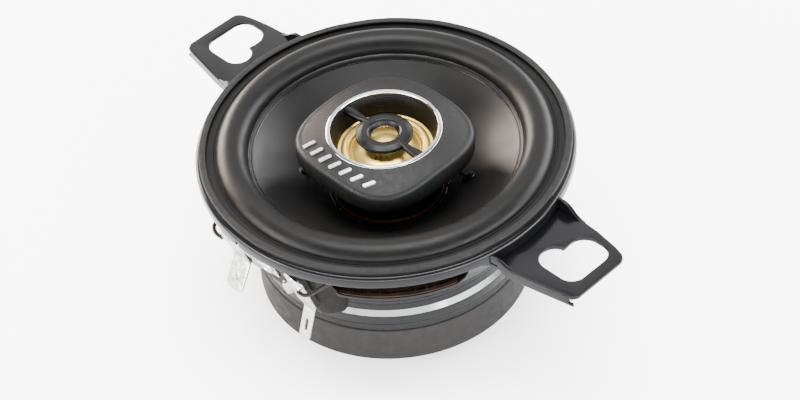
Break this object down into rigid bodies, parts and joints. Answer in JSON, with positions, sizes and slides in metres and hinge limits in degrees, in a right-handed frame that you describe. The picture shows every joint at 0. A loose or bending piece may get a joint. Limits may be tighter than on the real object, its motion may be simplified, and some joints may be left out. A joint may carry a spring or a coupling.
{
  "type": "coaxial car speaker",
  "caption": "Round coaxial car speaker with slotted mounting ears, a half-roll surround and a small dome tweeter held on a post in front of the cone.",
  "frame": {"origin": "centre of the motor's back face, on the speaker's axis", "axes": "+Z towards the listener, the way the cone faces; X through the two mounting ears; the terminals are on the -Y side"},
  "size_m": [0.132, 0.091, 0.0475],
  "materials": {
    "black_steel": "gloss",
    "grey_gasket": "matte",
    "black_rubber": "satin",
    "dark_cone": "satin",
    "brown_cloth": "matte",
    "amber_former": "satin",
    "copper_wire": "satin",
    "plated_steel": "satin",
    "dark_steel": "satin",
    "ferrite": "matte",
    "fibre_board": "matte",
    "tinned_brass": "gloss",
    "black_plastic": "fine texture",
    "bright_chrome": "polished",
    "gold_film": "metallised film",
    "neodymium": "nickel plated",
    "silver_paint": "satin",
    "yellow_film": "gloss",
    "lead_braid": "matte",
    "lead_sleeve": "matte"
  },
  "bodies": {
    "frame": {"basket": "black_steel", "gasket_ring": "grey_gasket", "surround": "black_rubber", "spider": "brown_cloth", "top_plate": "dark_steel", "magnet": "ferrite", "t_yoke": "dark_steel", "plate_rivets": "plated_steel", "terminal_board": "fibre_board", "board_rivets": "plated_steel", "positive_terminal": "tinned_brass", "negative_terminal": "tinned_brass", "terminal_eyelets": "tinned_brass", "tinsel_lead_positive": "lead_braid", "tinsel_lead_negative": "lead_braid", "tweeter_post": "plated_steel", "tweeter_screw": "plated_steel", "tweeter_base": "black_plastic", "tweeter_cup": "plated_steel", "tweeter_magnet": "neodymium", "tweeter_pole_plate": "plated_steel", "tweeter_edge": "gold_film", "diaphragm_ring": "black_plastic", "crossover_capacitor": "yellow_film", "tweeter_lead_positive": "lead_sleeve", "tweeter_lead_negative": "lead_sleeve", "tweeter_cover": "black_plastic", "phase_plug": "black_plastic", "trim_ring": "bright_chrome", "cover_ornament": "silver_paint"},
    "moving_cone": {"cone": "dark_cone", "voice_coil_former": "amber_former", "voice_coil_winding": "copper_wire"},
    "moving_dome": {"tweeter_dome": "gold_film", "tweeter_voice_coil": "copper_wire"}
  },
  "joints": [
    {"name": "cone_travel", "type": "slide", "parent": "frame", "child": "moving_cone", "axis": [0, 0, 1], "range_m": [-0.003, 0.003], "stiffness_N_per_m": 2000, "deforming": ["surround", "spider", "tinsel_lead_positive", "tinsel_lead_negative", "tweeter_lead_positive", "tweeter_lead_negative"]},
    {"name": "tweeter_dome_travel", "type": "slide", "parent": "frame", "child": "moving_dome", "axis": [0, 0, 1], "range_m": [-0.0003, 0.0003], "stiffness_N_per_m": 8000, "deforming": ["tweeter_edge"]}
  ]
}
